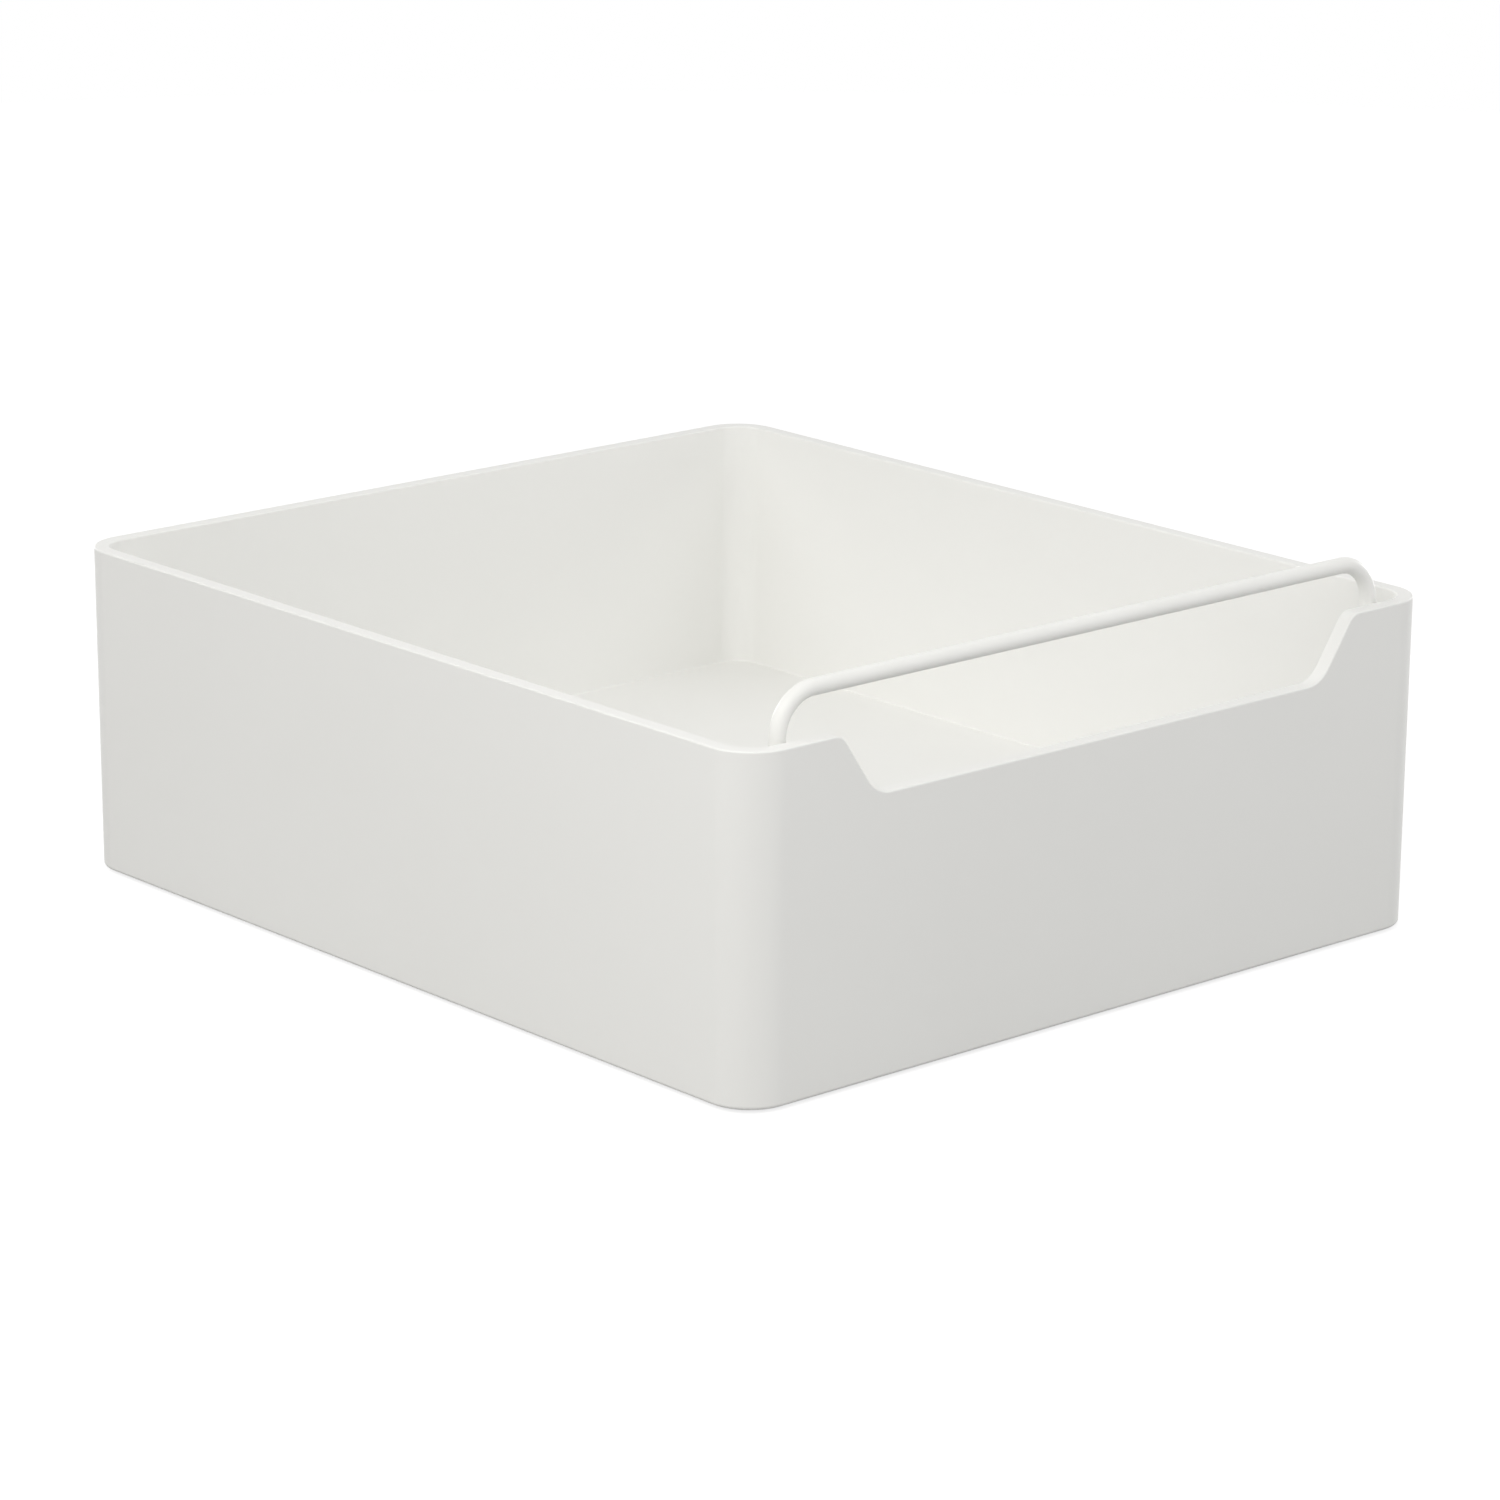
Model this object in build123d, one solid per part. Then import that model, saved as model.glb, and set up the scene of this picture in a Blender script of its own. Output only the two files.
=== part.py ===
from build123d import *
import os
from math import radians, tan

# Pull-out bin with a wire handle. Millimetres, +Z up, front towards -Y.
# The origin is the middle of the footprint, on the shelf that the bin stands on.

# Bin shell, outside sizes at the rim
RIM_WIDTH = 267.0
RIM_DEPTH = 305.0
SHELL_HEIGHT = 100.0
CORNER_RADIUS = 14.0
WALL = 4.8
DRAFT_ANGLE = 0.3
RIM_ROUND_SHARE = 0.12

# Raised floor and the skirt under it
SHELF_GAP = 1.0
FLOOR_RISE = 20.0
FLOOR_THICKNESS = 3.0
FLOOR_ROUND = 0.4
SKIRT_WALL = 3.0
SKIRT_ROUND_SHARE = 0.4

# Ribs under the floor
RIB_THICKNESS = 2.0
RIB_DEPTH = 5.0
RIB_ROWS = 4
RIB_COLUMNS = 3
RIB_MARGIN = 12.0

# Notch in the front wall, and the flat of the rim between it and the corner's round
SHOULDER_FLAT = 20.0
NOTCH_END_RUN = 12.8
NOTCH_DEPTH = 18.8
NOTCH_TOP_ROUND = 5.0
NOTCH_FLOOR_ROUND = 10.0

# Wire handle
WIRE_RADIUS = 2.4
LEG_CORNER_SETBACK = 4.5
LEG_GAP = 1.6
BAR_RISE = 12.0
BEND_RADIUS = 12.4

# Guide columns and their bushes
COLUMN_RADIUS = 7.5
COLUMN_ROUND = 1.0
COLUMN_BORE_CLEARANCE = 0.4
BEND_CLEARANCE = 5.0
BUSH_WALL = 1.2
BUSH_LENGTH = 20.0
BUSH_FLANGE_THICKNESS = 1.5
BUSH_FLANGE_OVERHANG = 1.8
BUSH_WALL_CLEARANCE = 0.3
BUSH_RUN_CLEARANCE = 0.06
FLANGE_ROUND_SHARE = 0.4

# Caps on the ends of the handle's legs
CAP_WALL = 1.3
CAP_HEIGHT = 9.0
CAP_END = 2.0
CAP_CLEARANCE = 0.3
CAP_ROUND_SHARE = 0.4
STOP_GAP = 0.3

# Front feet
FOOT_HEAD_RADIUS = 7.0
FOOT_HEAD_HEIGHT = 4.0
FOOT_STEM_LENGTH = 8.0
FOOT_SKIRT_CLEARANCE = 0.4
FOOT_ROUND_SHARE = 0.2

# Rear rollers, tyres and axles
ROLLER_INSET = 33.5
ROLLER_WIDTH = 12.0
TYRE_THICKNESS = 1.6
TYRE_WIDTH = 7.0
TYRE_ROUND_SHARE = 0.4
RUNNER_LIP = 0.8
RUNNER_ROUND_SHARE = 0.5
AXLE_RADIUS = 2.0
AXLE_RUN_CLEARANCE = 0.05
AXLE_CHAMFER = 0.4

# Roller brackets
ROLLER_SIDE_CLEARANCE = 0.5
ROLLER_TIP_CLEARANCE = 1.0
BRACKET_CHEEK = 3.0
BRACKET_END_WALL = 2.5
BRACKET_ROOF = 2.0
BRACKET_SHELF_CLEARANCE = 3.5
BRACKET_SKIRT_CLEARANCE = 1.5
BRACKET_ROUND = 2.0
EAR_THICKNESS = 2.5
EAR_LENGTH = 10.0
EAR_WIDTH = 11.0
BOSS_HEIGHT = 5.5
BOSS_RADIUS = 3.6

# Bracket screws
SCREW_RADIUS = 1.4
SCREW_HEAD_RADIUS = 2.8
SCREW_HEAD_HEIGHT = 1.8
SCREW_TIP_COVER = 1.7
SCREW_HOLE_CLEARANCE = 0.2
SCREW_TIP_CLEARANCE = 0.3
DRIVE_LENGTH = 3.2
DRIVE_WIDTH = 0.8
DRIVE_DEPTH = 1.0

# Every cut runs past the faces that it opens by this much
OVERRUN = 1.0

# Pieces that come in pairs, by side, with the side's sign along X
SIDES = {"left": -1, "right": 1}

# Heights worked out from the sizes above
rim_z = SHELF_GAP + SHELL_HEIGHT
floor_top_z = SHELF_GAP + FLOOR_RISE
floor_under_z = floor_top_z - FLOOR_THICKNESS
notch_floor_z = rim_z - NOTCH_DEPTH
bar_z = rim_z + BAR_RISE
handle_travel = BAR_RISE + WIRE_RADIUS
foot_stem_top_z = FOOT_HEAD_HEIGHT + FOOT_STEM_LENGTH
cap_bottom_z = foot_stem_top_z + STOP_GAP + handle_travel
cap_top_z = cap_bottom_z + CAP_HEIGHT
cap_bore_top_z = cap_top_z + STOP_GAP
leg_end_z = cap_bottom_z + CAP_END
bend_start_z = bar_z - BEND_RADIUS
column_top_z = bend_start_z - handle_travel - BEND_CLEARANCE - BUSH_FLANGE_THICKNESS
ear_top_z = floor_under_z - BOSS_HEIGHT
ear_bottom_z = ear_top_z - EAR_THICKNESS
screw_hole_top_z = floor_top_z - SCREW_TIP_COVER
screw_tip_z = screw_hole_top_z - SCREW_TIP_CLEARANCE

# Places and radii worked out from the sizes above
draft_in = SHELL_HEIGHT * tan(radians(DRAFT_ANGLE))
skirt_width = RIM_WIDTH - 2 * draft_in
skirt_depth = RIM_DEPTH - 2 * draft_in
skirt_corner = CORNER_RADIUS - draft_in
front_y = -RIM_DEPTH / 2
notch_top_width = RIM_WIDTH - 2 * (CORNER_RADIUS + SHOULDER_FLAT)
notch_floor_width = notch_top_width - 2 * NOTCH_END_RUN
leg_y = front_y + WALL + LEG_GAP + WIRE_RADIUS
leg_x = RIM_WIDTH / 2 - CORNER_RADIUS - LEG_CORNER_SETBACK
skirt_front_y = -skirt_depth / 2
roller_radius = (floor_under_z - BRACKET_ROOF - ROLLER_TIP_CLEARANCE) / 2
bush_bore_radius = WIRE_RADIUS + BUSH_RUN_CLEARANCE
bush_radius = bush_bore_radius + BUSH_WALL
cap_radius = WIRE_RADIUS + CAP_WALL
cap_bore_radius = cap_radius + CAP_CLEARANCE
bracket_inner_width = ROLLER_WIDTH + 2 * ROLLER_SIDE_CLEARANCE
bracket_width = bracket_inner_width + 2 * BRACKET_CHEEK
bracket_inner_length = 2 * (roller_radius + ROLLER_TIP_CLEARANCE)
bracket_length = bracket_inner_length + 2 * BRACKET_END_WALL
screw_offset = (bracket_length + EAR_LENGTH) / 2
ear_end_y = skirt_depth / 2 - SKIRT_WALL - BRACKET_SKIRT_CLEARANCE
axle_x = RIM_WIDTH / 2 - ROLLER_INSET
axle_y = ear_end_y - EAR_LENGTH - bracket_length / 2


def level(z):
    """A horizontal plane at height z."""
    return Plane.XY.offset(z)


def column(x, y, radius, low, high):
    """An upright cylinder from one height to another."""
    return Pos(x, y, low) * extrude(Circle(radius), high - low)


def block(width, depth, low, high):
    """An upright block centred on the Z axis, from one height to another."""
    return Pos(0, 0, low) * extrude(Rectangle(width, depth), high - low)


def guide_column(x):
    """The upright rib that carries one leg, with a round back, grown from the front wall and skirt."""
    root_y = skirt_front_y + SKIRT_WALL / 2
    web = Pos(0, (root_y - leg_y) / 2) * Rectangle(2 * COLUMN_RADIUS, leg_y - root_y)
    outline = Circle(COLUMN_RADIUS) + web
    rib = Pos(x, leg_y, FOOT_HEAD_HEIGHT) * extrude(outline, column_top_z - FOOT_HEAD_HEIGHT)
    return fillet(rib.faces().sort_by(Axis.Z)[-1].edges(), COLUMN_ROUND)


def guide_bores(x):
    """The stepped hole in a guide column: cap bore from below, leg bore, bush bore from above."""
    leg_bore = column(x, leg_y, WIRE_RADIUS + COLUMN_BORE_CLEARANCE, cap_bore_top_z, column_top_z)
    cap_bore = column(x, leg_y, cap_bore_radius, FOOT_HEAD_HEIGHT - OVERRUN, cap_bore_top_z)
    bush_seat = column(x, leg_y, bush_radius, column_top_z - BUSH_LENGTH, column_top_z + OVERRUN)
    return leg_bore + cap_bore + bush_seat


def notch_cutter():
    """The notch's outline, rounded into the rim and at its floor, as a bar through the front wall."""
    reach = RIM_WIDTH / 2
    points = [
        (-reach, rim_z),
        (-notch_top_width / 2, rim_z),
        (-notch_floor_width / 2, notch_floor_z),
        (notch_floor_width / 2, notch_floor_z),
        (notch_top_width / 2, rim_z),
        (reach, rim_z),
        (reach, rim_z + OVERRUN),
        (-reach, rim_z + OVERRUN),
    ]
    outline = make_face(Polyline(*points, close=True))
    corners = outline.vertices()
    floor_corners = corners.filter_by(lambda v: v.Y < rim_z - NOTCH_DEPTH / 2)
    outline = fillet(floor_corners, NOTCH_FLOOR_ROUND)
    top_corners = outline.vertices().filter_by(
        lambda v: abs(v.Y - rim_z) < OVERRUN / 2 and abs(v.X) < (reach + notch_top_width / 2) / 2
    )
    outline = fillet(top_corners, NOTCH_TOP_ROUND)
    face = Plane.XZ.offset(-front_y - WALL - OVERRUN) * outline
    return extrude(face, WALL + 2 * OVERRUN)


def is_rim_edge(edge):
    """Whether an edge runs along the rim or the notch, on the outside or the inside of the wall."""
    above = edge.bounding_box().min.Z > notch_floor_z - OVERRUN / 2
    middle_share = 0.5
    heading = edge % middle_share
    through_wall = abs(heading.Y) > abs(heading.X) and edge.length < 2 * WALL
    return above and not through_wall


def shell_walls():
    """Walls, raised floor and skirt as one drafted moulding, with its notch and rounded rim."""
    rim_outline = level(rim_z) * RectangleRounded(RIM_WIDTH, RIM_DEPTH, CORNER_RADIUS)
    outside = extrude(rim_outline, SHELL_HEIGHT, dir=(0, 0, -1), taper=DRAFT_ANGLE)
    skirt_edges = outside.faces().sort_by(Axis.Z)[0].edges()
    outside = fillet(skirt_edges, SKIRT_WALL * SKIRT_ROUND_SHARE)
    mouth = level(rim_z) * RectangleRounded(
        RIM_WIDTH - 2 * WALL, RIM_DEPTH - 2 * WALL, CORNER_RADIUS - WALL
    )
    inside = extrude(mouth, rim_z - floor_top_z, dir=(0, 0, -1), taper=DRAFT_ANGLE)
    inside = fillet(inside.faces().sort_by(Axis.Z)[0].edges(), FLOOR_ROUND)
    under_outline = level(SHELF_GAP) * RectangleRounded(
        skirt_width - 2 * SKIRT_WALL, skirt_depth - 2 * SKIRT_WALL, skirt_corner - SKIRT_WALL
    )
    underside = extrude(under_outline, floor_under_z - SHELF_GAP, taper=DRAFT_ANGLE)
    walls = outside - inside - underside - notch_cutter()
    rim_edges = walls.edges().filter_by(is_rim_edge)
    return fillet(rim_edges, WALL * RIM_ROUND_SHARE)


def spread(first, last, count):
    """Evenly spaced places from first to last."""
    return [first + (last - first) * step / (count - 1) for step in range(count)]


def floor_ribs():
    """The grid of stiffening ribs under the floor, clear of the guide columns and the brackets."""
    low = floor_under_z - RIB_DEPTH
    high = floor_under_z + FLOOR_THICKNESS / 2
    row_width = skirt_width - SKIRT_WALL
    column_depth = skirt_depth - SKIRT_WALL
    front_row = leg_y + COLUMN_RADIUS + RIB_MARGIN
    rear_row = axle_y - bracket_length / 2 - EAR_LENGTH - RIB_MARGIN
    side_column = axle_x - bracket_width / 2 - RIB_MARGIN
    rows = spread(front_row, rear_row, RIB_ROWS)
    columns = spread(-side_column, side_column, RIB_COLUMNS)
    ribs = [Pos(0, y) * block(row_width, RIB_THICKNESS, low, high) for y in rows]
    return ribs + [Pos(x, 0) * block(RIB_THICKNESS, column_depth, low, high) for x in columns]


def screw_places():
    """The four places of the bracket screws in plan."""
    return [(side * axle_x, axle_y + end * screw_offset) for side in SIDES.values() for end in (-1, 1)]


def bin_shell():
    """The whole bin moulding, with ribs, screw bosses and guide columns."""
    shell = shell_walls()
    shell += floor_ribs()
    boss_high = floor_under_z + FLOOR_THICKNESS / 2
    for x, y in screw_places():
        shell += column(x, y, BOSS_RADIUS, ear_top_z, boss_high)
    for side in SIDES.values():
        shell += guide_column(side * leg_x)
    for x, y in screw_places():
        shell -= column(x, y, SCREW_RADIUS, ear_top_z - OVERRUN, screw_hole_top_z)
    for side in SIDES.values():
        shell -= guide_bores(side * leg_x)
    return shell


def wire_handle():
    """The bent wire: two legs, two bends and the bar, at the raised height."""
    left_leg = [(-leg_x, leg_y, leg_end_z), (-leg_x, leg_y, bar_z)]
    right_leg = [(leg_x, leg_y, bar_z), (leg_x, leg_y, leg_end_z)]
    path = FilletPolyline(*left_leg, *right_leg, radius=BEND_RADIUS)
    section = Plane(origin=path @ 0, z_dir=path % 0) * Circle(WIRE_RADIUS)
    return sweep(section, path=path)


def guide_bush(side):
    """A liner pressed into the top of a guide column, with a flange that has a flat towards the wall."""
    x = side * leg_x
    flange_radius = bush_radius + BUSH_FLANGE_OVERHANG
    flange_top = column_top_z + BUSH_FLANGE_THICKNESS
    flat_y = BUSH_WALL_CLEARANCE - LEG_GAP - WIRE_RADIUS
    beyond = Pos(0, flat_y - flange_radius) * Rectangle(2 * flange_radius, 2 * flange_radius)
    flange = Pos(x, leg_y, column_top_z) * extrude(Circle(flange_radius) - beyond, BUSH_FLANGE_THICKNESS)
    flange = fillet(flange.faces().sort_by(Axis.Z)[-1].edges(), BUSH_FLANGE_THICKNESS * FLANGE_ROUND_SHARE)
    body = column(x, leg_y, bush_radius, column_top_z - BUSH_LENGTH, column_top_z)
    bore = column(x, leg_y, bush_bore_radius, column_top_z - BUSH_LENGTH - OVERRUN, flange_top + OVERRUN)
    return flange + body - bore


def leg_cap(side):
    """A cap pressed on the lower end of a leg, too wide for the leg's bore above it."""
    x = side * leg_x
    cap = column(x, leg_y, cap_radius, cap_bottom_z, cap_top_z)
    cap = fillet(cap.faces().sort_by(Axis.Z)[0].edges(), CAP_WALL * CAP_ROUND_SHARE)
    return cap - column(x, leg_y, WIRE_RADIUS, leg_end_z, cap_top_z + OVERRUN)


def front_foot(side):
    """A soft pad with a flat towards the skirt, and the stem that holds it in the cap bore."""
    x = side * leg_x
    flat_y = skirt_front_y + SKIRT_WALL + FOOT_SKIRT_CLEARANCE - leg_y
    beyond = Pos(0, flat_y - FOOT_HEAD_RADIUS) * Rectangle(2 * FOOT_HEAD_RADIUS, 2 * FOOT_HEAD_RADIUS)
    head = Pos(x, leg_y) * extrude(Circle(FOOT_HEAD_RADIUS) - beyond, FOOT_HEAD_HEIGHT)
    head = fillet(head.faces().sort_by(Axis.Z)[0].edges(), FOOT_HEAD_HEIGHT * FOOT_ROUND_SHARE)
    return head + column(x, leg_y, cap_bore_radius, FOOT_HEAD_HEIGHT, foot_stem_top_z)


def across(radius, width):
    """A cylinder along X, centred on the origin."""
    return extrude(Plane.YZ * Circle(radius), width / 2, both=True)


def at_axle(side, piece):
    """A piece made about the origin, moved to one axle."""
    return Pos(side * axle_x, axle_y, roller_radius) * piece


def roller(side):
    """A small wheel with a groove for its tyre."""
    core = roller_radius - TYRE_THICKNESS
    wheel = across(core + RUNNER_LIP, ROLLER_WIDTH)
    ends = [wheel.faces().sort_by(Axis.X)[0], wheel.faces().sort_by(Axis.X)[-1]]
    rim_edges = [edge for face in ends for edge in face.edges()]
    wheel = fillet(rim_edges, RUNNER_LIP * RUNNER_ROUND_SHARE)
    wheel -= across(roller_radius, TYRE_WIDTH) - across(core, TYRE_WIDTH)
    return at_axle(side, wheel - across(AXLE_RADIUS + AXLE_RUN_CLEARANCE, ROLLER_WIDTH + 2 * OVERRUN))


def roller_tyre(side):
    """A soft ring in the wheel's groove, which runs on the shelf."""
    band = across(roller_radius, TYRE_WIDTH)
    ends = [band.faces().sort_by(Axis.X)[0], band.faces().sort_by(Axis.X)[-1]]
    shoulders = [edge for face in ends for edge in face.edges()]
    band = fillet(shoulders, TYRE_THICKNESS * TYRE_ROUND_SHARE)
    return at_axle(side, band - across(roller_radius - TYRE_THICKNESS, TYRE_WIDTH + 2 * OVERRUN))


def roller_axle(side):
    """A steel pin through both cheeks of a bracket."""
    pin = across(AXLE_RADIUS, bracket_width)
    ends = [pin.faces().sort_by(Axis.X)[0], pin.faces().sort_by(Axis.X)[-1]]
    pin = chamfer([edge for face in ends for edge in face.edges()], AXLE_CHAMFER)
    return at_axle(side, pin)


def roller_bracket(side):
    """A housing open at the bottom, with an ear for a screw at its front and at its rear."""
    housing = block(bracket_width, bracket_length, BRACKET_SHELF_CLEARANCE, floor_under_z)
    housing = fillet(housing.edges().filter_by(Axis.Z), BRACKET_ROUND)
    ear_span = bracket_length + 2 * EAR_LENGTH
    ears = Pos(0, 0, ear_bottom_z) * extrude(Rot(0, 0, 90) * SlotOverall(ear_span, EAR_WIDTH), EAR_THICKNESS)
    housing += ears
    roof_z = floor_under_z - BRACKET_ROOF
    housing -= block(bracket_inner_width, bracket_inner_length, BRACKET_SHELF_CLEARANCE - OVERRUN, roof_z)
    housing -= Pos(0, 0, roller_radius) * across(AXLE_RADIUS, bracket_width + 2 * OVERRUN)
    hole_radius = SCREW_RADIUS + SCREW_HOLE_CLEARANCE
    for end in (-1, 1):
        housing -= column(0, end * screw_offset, hole_radius, ear_bottom_z - OVERRUN, ear_top_z + OVERRUN)
    return Pos(side * axle_x, axle_y) * housing


def bracket_screw(x, y):
    """A pan-head screw with a cross drive, driven up into its boss."""
    head_z = ear_bottom_z - SCREW_HEAD_HEIGHT
    head = column(0, 0, SCREW_HEAD_RADIUS, head_z, ear_bottom_z)
    head = fillet(head.faces().sort_by(Axis.Z)[0].edges(), SCREW_HEAD_HEIGHT / 2)
    screw = head + column(0, 0, SCREW_RADIUS, ear_bottom_z, screw_tip_z)
    for length, width in ((DRIVE_LENGTH, DRIVE_WIDTH), (DRIVE_WIDTH, DRIVE_LENGTH)):
        screw -= block(length, width, head_z - OVERRUN, head_z + DRIVE_DEPTH)
    return Pos(x, y) * screw


def pieces():
    """Every piece of the bin by its name."""
    made = {"bin_shell": bin_shell(), "wire_handle": wire_handle()}
    paired = [guide_bush, leg_cap, front_foot, roller_bracket, roller, roller_tyre, roller_axle]
    for make in paired:
        for name, side in SIDES.items():
            made[f"{make.__name__}_{name}"] = make(side)
    made["bracket_screws"] = Compound([bracket_screw(x, y).solid() for x, y in screw_places()])
    return made


os.makedirs("parts", exist_ok=True)
for name, piece in pieces().items():
    export_step(piece, f"parts/{name}.step")
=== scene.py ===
"""Pull-out cabinet bin: a moulded shell with a notched front, a sliding wire handle, feet and rollers."""

import logging
import math
from dataclasses import dataclass, replace
from enum import Enum, IntEnum
from typing import Sequence

import bmesh
import bpy
from bmesh.types import BMEdge, BMesh, BMFace, BMVert
from mathutils import Matrix, Vector


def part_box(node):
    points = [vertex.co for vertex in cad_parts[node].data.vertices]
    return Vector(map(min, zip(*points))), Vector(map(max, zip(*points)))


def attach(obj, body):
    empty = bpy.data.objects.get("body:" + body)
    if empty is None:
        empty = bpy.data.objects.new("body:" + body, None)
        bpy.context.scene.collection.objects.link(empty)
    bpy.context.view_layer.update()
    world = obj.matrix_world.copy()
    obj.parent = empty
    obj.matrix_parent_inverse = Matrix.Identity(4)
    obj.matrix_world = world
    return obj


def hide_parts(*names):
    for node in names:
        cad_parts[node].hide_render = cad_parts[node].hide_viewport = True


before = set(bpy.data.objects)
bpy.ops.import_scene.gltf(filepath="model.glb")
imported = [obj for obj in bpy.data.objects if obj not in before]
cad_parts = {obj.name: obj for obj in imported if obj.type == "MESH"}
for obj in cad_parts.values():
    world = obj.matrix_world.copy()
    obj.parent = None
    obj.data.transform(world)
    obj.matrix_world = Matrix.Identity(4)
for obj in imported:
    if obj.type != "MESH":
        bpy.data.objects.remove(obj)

LOG = logging.getLogger("pull_out_bin")
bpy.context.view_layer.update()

MM = 0.001
WELD = 1e-6
OVERRUN = 1.0 * MM
QUARTER_TURN = math.pi / 2
FULL_TURN = 2 * math.pi
SHARP_ANGLE = math.radians(36)
FLAT_ANGLE = math.radians(0.02)
STATION = "station"
UP = Vector((0, 0, 1)).freeze()
TO_REAR = Vector((0, 1, 0)).freeze()
TO_RIGHT = Vector((1, 0, 0)).freeze()

Colour = tuple[float, float, float]
Triple = tuple[float, float, float]
Outline = Sequence[tuple[float, float]]
Piece = bpy.types.Object
Socket = bpy.types.NodeSocket
Links = dict[str | int, Socket]

WHITE: Colour = (1.0, 1.0, 1.0)


class Side(Enum):
    """The two hands of the pieces that come in pairs, with the sign of each along X."""

    LEFT = -1
    RIGHT = 1

    @property
    def label(self) -> str:
        """The hand as it stands in the names of pieces."""
        return self.name.lower()


class Carve(Enum):
    """What a tool solid does to the solid that it meets."""

    JOIN = "UNION"
    CUT = "DIFFERENCE"


class Band(IntEnum):
    """The corners of the shell's wall section, in order from the roof of the pocket to the floor."""

    POCKET_ROOF = 0
    SKIRT_INSIDE = 1
    SKIRT_OUTSIDE = 2
    RIM_OUTSIDE = 3
    RIM_INSIDE = 4
    FLOOR = 5


class Facets(IntEnum):
    """Faces round a turned form."""

    SCREW_HOLE = 24
    EAR_HOLE = 28
    PIN = 32
    SCREW = 36
    COLUMN = 40
    RING = 48
    TYRE = 64
    STUDIO_FLOOR = 96


class Arc(IntEnum):
    """Faces across a rounded edge."""

    CHAMFER = 1
    FINE = 3
    SMALL = 4
    PLAIN = 5
    WIDE = 6
    EAR = 12


@dataclass(frozen=True)
class Tag:
    """What a finished piece is called, which node it stands for, what it moves with and its material slot."""

    name: str
    node: str
    body: str
    slot: str

    def on(self, side: Side) -> "Tag":
        """The tag of one piece of a pair."""
        return replace(self, name=f"{self.name}_{side.label}", node=f"{self.node}_{side.label}")


@dataclass(frozen=True)
class NodeBox:
    """The box of a node at rest."""

    low: Vector
    high: Vector

    @classmethod
    def of(cls, node: str, side: Side | None = None) -> "NodeBox":
        """The box of the named node, or of the one of a pair on the given side."""
        return cls(*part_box(f"{node}_{side.label}" if side else node))

    @property
    def middle(self) -> Vector:
        """The centre of the box."""
        return (self.low + self.high) / 2

    @property
    def size(self) -> Vector:
        """The box's width, depth and height."""
        return self.high - self.low


@dataclass(frozen=True)
class Mottle:
    """A soft random pattern: its cells in a metre and its octaves of finer noise."""

    scale: float
    detail: float = 2.0


@dataclass(frozen=True)
class Relief:
    """A fine relief: how much of it shows and its depth in metres."""

    strength: float
    depth: float


class NodeBench:
    """Lays nodes out in the emptied tree of a material or a world."""

    def __init__(self, owner: bpy.types.Material | bpy.types.World) -> None:
        """Take the owner's tree and clear it.

        Args:
            owner: The material or the world.
        """
        owner.use_nodes = True
        self.tree = owner.node_tree
        self.tree.nodes.clear()

    def node(self, kind: str, links: Links | None = None, **values: object) -> bpy.types.Node:
        """Add a node.

        Args:
            kind: The node's type.
            links: What is linked to its inputs, by their names or numbers.
            **values: What its other inputs are set to, with underscores for the blanks in their names.

        Returns:
            The node.
        """
        made = self.tree.nodes.new(kind)
        for name, value in values.items():
            made.inputs[name.replace("_", " ")].default_value = value
        for place, socket in (links or {}).items():
            self.tree.links.new(socket, made.inputs[place])
        return made

    def by_ray(self, unseen: Socket, seen: Socket) -> Socket:
        """Choose between two shaders by whether a ray shows the background.

        Args:
            unseen: The shader for rays that only carry light.
            seen: The shader for rays from the camera, from a gloss or through glass.

        Returns:
            The socket with the chosen shader.
        """
        path = self.node("ShaderNodeLightPath").outputs
        shows = path["Is Camera Ray"]
        for name in ("Is Glossy Ray", "Is Transmission Ray"):
            either = self.node("ShaderNodeMath", {0: shows, 1: path[name]})
            either.operation = "MAXIMUM"
            shows = either.outputs["Value"]
        return self.node("ShaderNodeMixShader", {0: shows, 1: unseen, 2: seen}).outputs["Shader"]


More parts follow.
